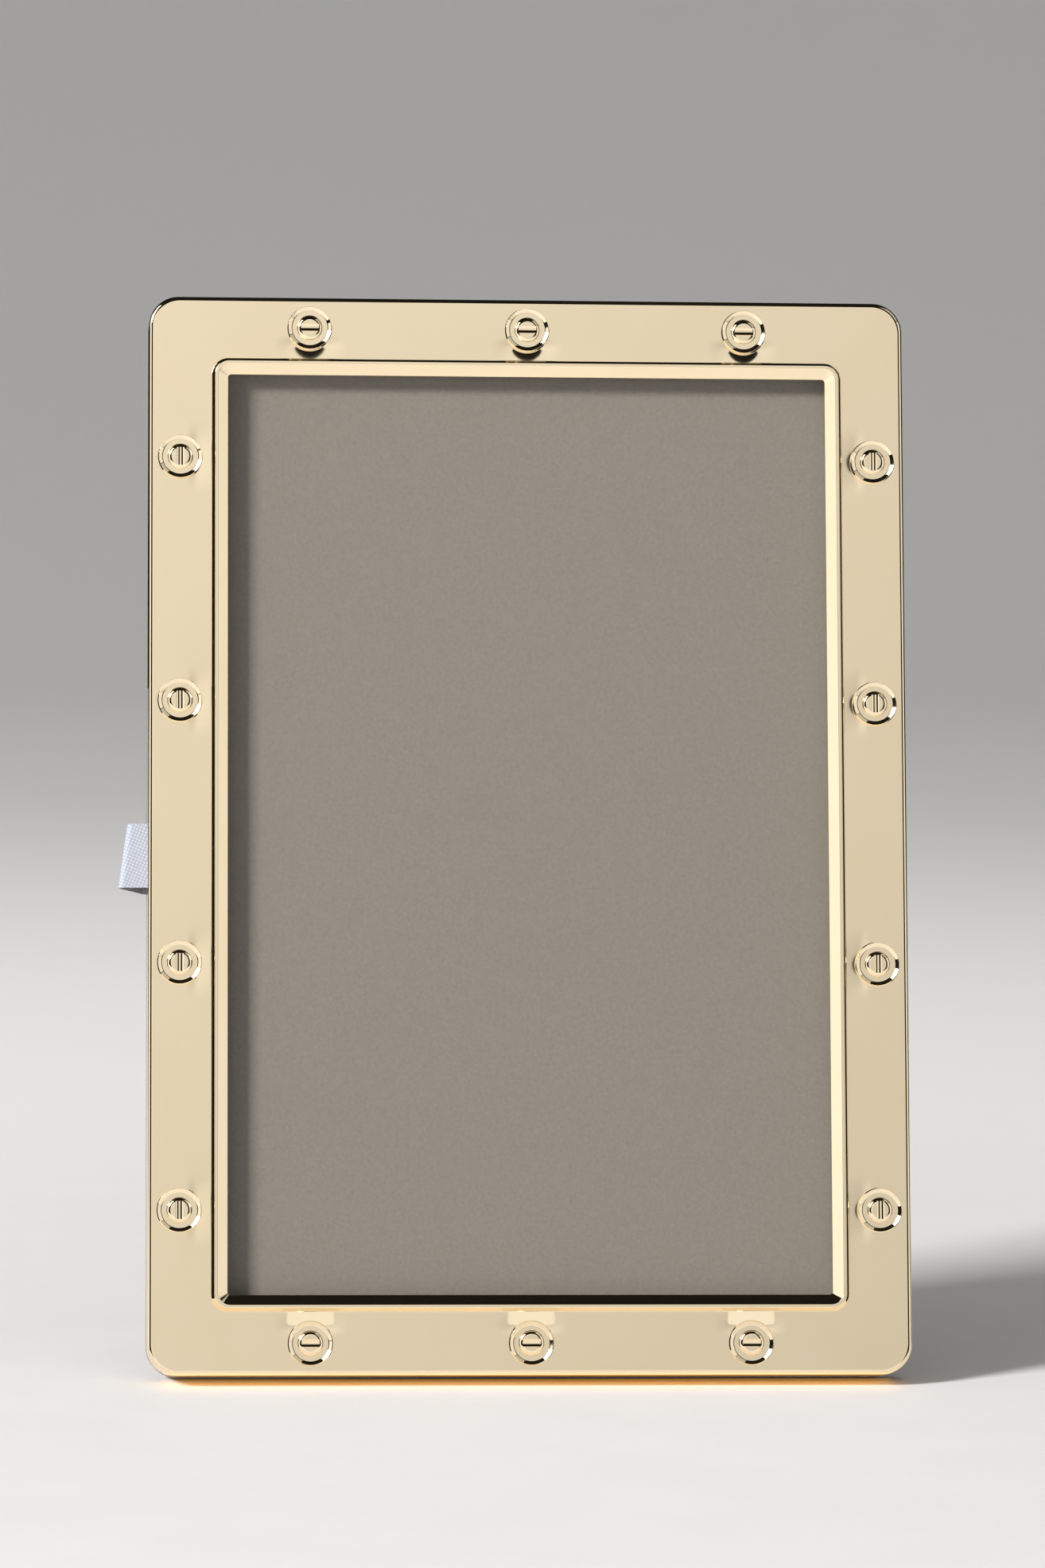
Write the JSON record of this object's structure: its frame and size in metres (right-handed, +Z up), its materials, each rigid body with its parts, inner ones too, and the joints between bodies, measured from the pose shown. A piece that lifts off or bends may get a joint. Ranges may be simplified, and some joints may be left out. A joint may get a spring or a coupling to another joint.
{
  "type": "picture frame",
  "caption": "Free-standing portrait picture frame: polished gold front with slotted studs and a raised window ridge, glass, velvet back with ribbon pull and folding easel strut.",
  "frame": {"origin": "on the table, below the middle of the part's bounding box", "axes": "+Z up, -Y out of the front of the frame, +X to the right seen from the front"},
  "size_m": [0.1262, 0.057, 0.1704],
  "materials": {
    "gold_plate": "mirror-polished pale gold plating on a die casting",
    "window_glass": "clear float glass",
    "taupe_card": "plain taupe card, bare",
    "packing_card": "uncoated grey card",
    "board": "raw fibreboard",
    "velvet": "short-pile taupe velvet",
    "lining_card": "matt lining card",
    "ribbon": "woven white ribbon",
    "hinge_brass": "brass-plated pressed steel"
  },
  "bodies": {
    "front": {"front_frame": "gold_plate", "glass_pane": "window_glass", "photo_card": "taupe_card", "backing_card": "packing_card", "stud_cup_01": "gold_plate", "stud_cup_02": "gold_plate", "stud_cup_03": "gold_plate", "stud_cup_04": "gold_plate", "stud_cup_05": "gold_plate", "stud_cup_06": "gold_plate", "stud_cup_07": "gold_plate", "stud_cup_08": "gold_plate", "stud_cup_09": "gold_plate", "stud_cup_10": "gold_plate", "stud_cup_11": "gold_plate", "stud_cup_12": "gold_plate", "stud_cup_13": "gold_plate", "stud_cup_14": "gold_plate", "slotted_screw_01": "gold_plate", "slotted_screw_02": "gold_plate", "slotted_screw_03": "gold_plate", "slotted_screw_04": "gold_plate", "slotted_screw_05": "gold_plate", "slotted_screw_06": "gold_plate", "slotted_screw_07": "gold_plate", "slotted_screw_08": "gold_plate", "slotted_screw_09": "gold_plate", "slotted_screw_10": "gold_plate", "slotted_screw_11": "gold_plate", "slotted_screw_12": "gold_plate", "slotted_screw_13": "gold_plate", "slotted_screw_14": "gold_plate"},
    "back": {"plug_board": "board", "back_velvet": "velvet", "back_board": "board", "pull_ribbon": "ribbon", "hinge_fixed_leaf": "hinge_brass", "hinge_pin": "hinge_brass", "hinge_rivet_1": "hinge_brass", "hinge_rivet_2": "hinge_brass"},
    "strut": {"strut_board": "board", "strut_velvet": "velvet", "strut_lining": "lining_card", "hinge_moving_leaf": "hinge_brass", "hinge_rivet_3": "hinge_brass", "hinge_rivet_4": "hinge_brass"}
  },
  "joints": [
    {"name": "back_pull", "type": "slide", "parent": "front", "child": "back", "axis": [0, 0.9816, -0.1908], "range_m": [0, 0.03]},
    {"name": "strut_fold", "type": "hinge", "parent": "back", "child": "strut", "pos_m": [0.00269, 0.00507, 0.10567], "axis": [1, 0, 0], "range_deg": [-21, 0]}
  ]
}
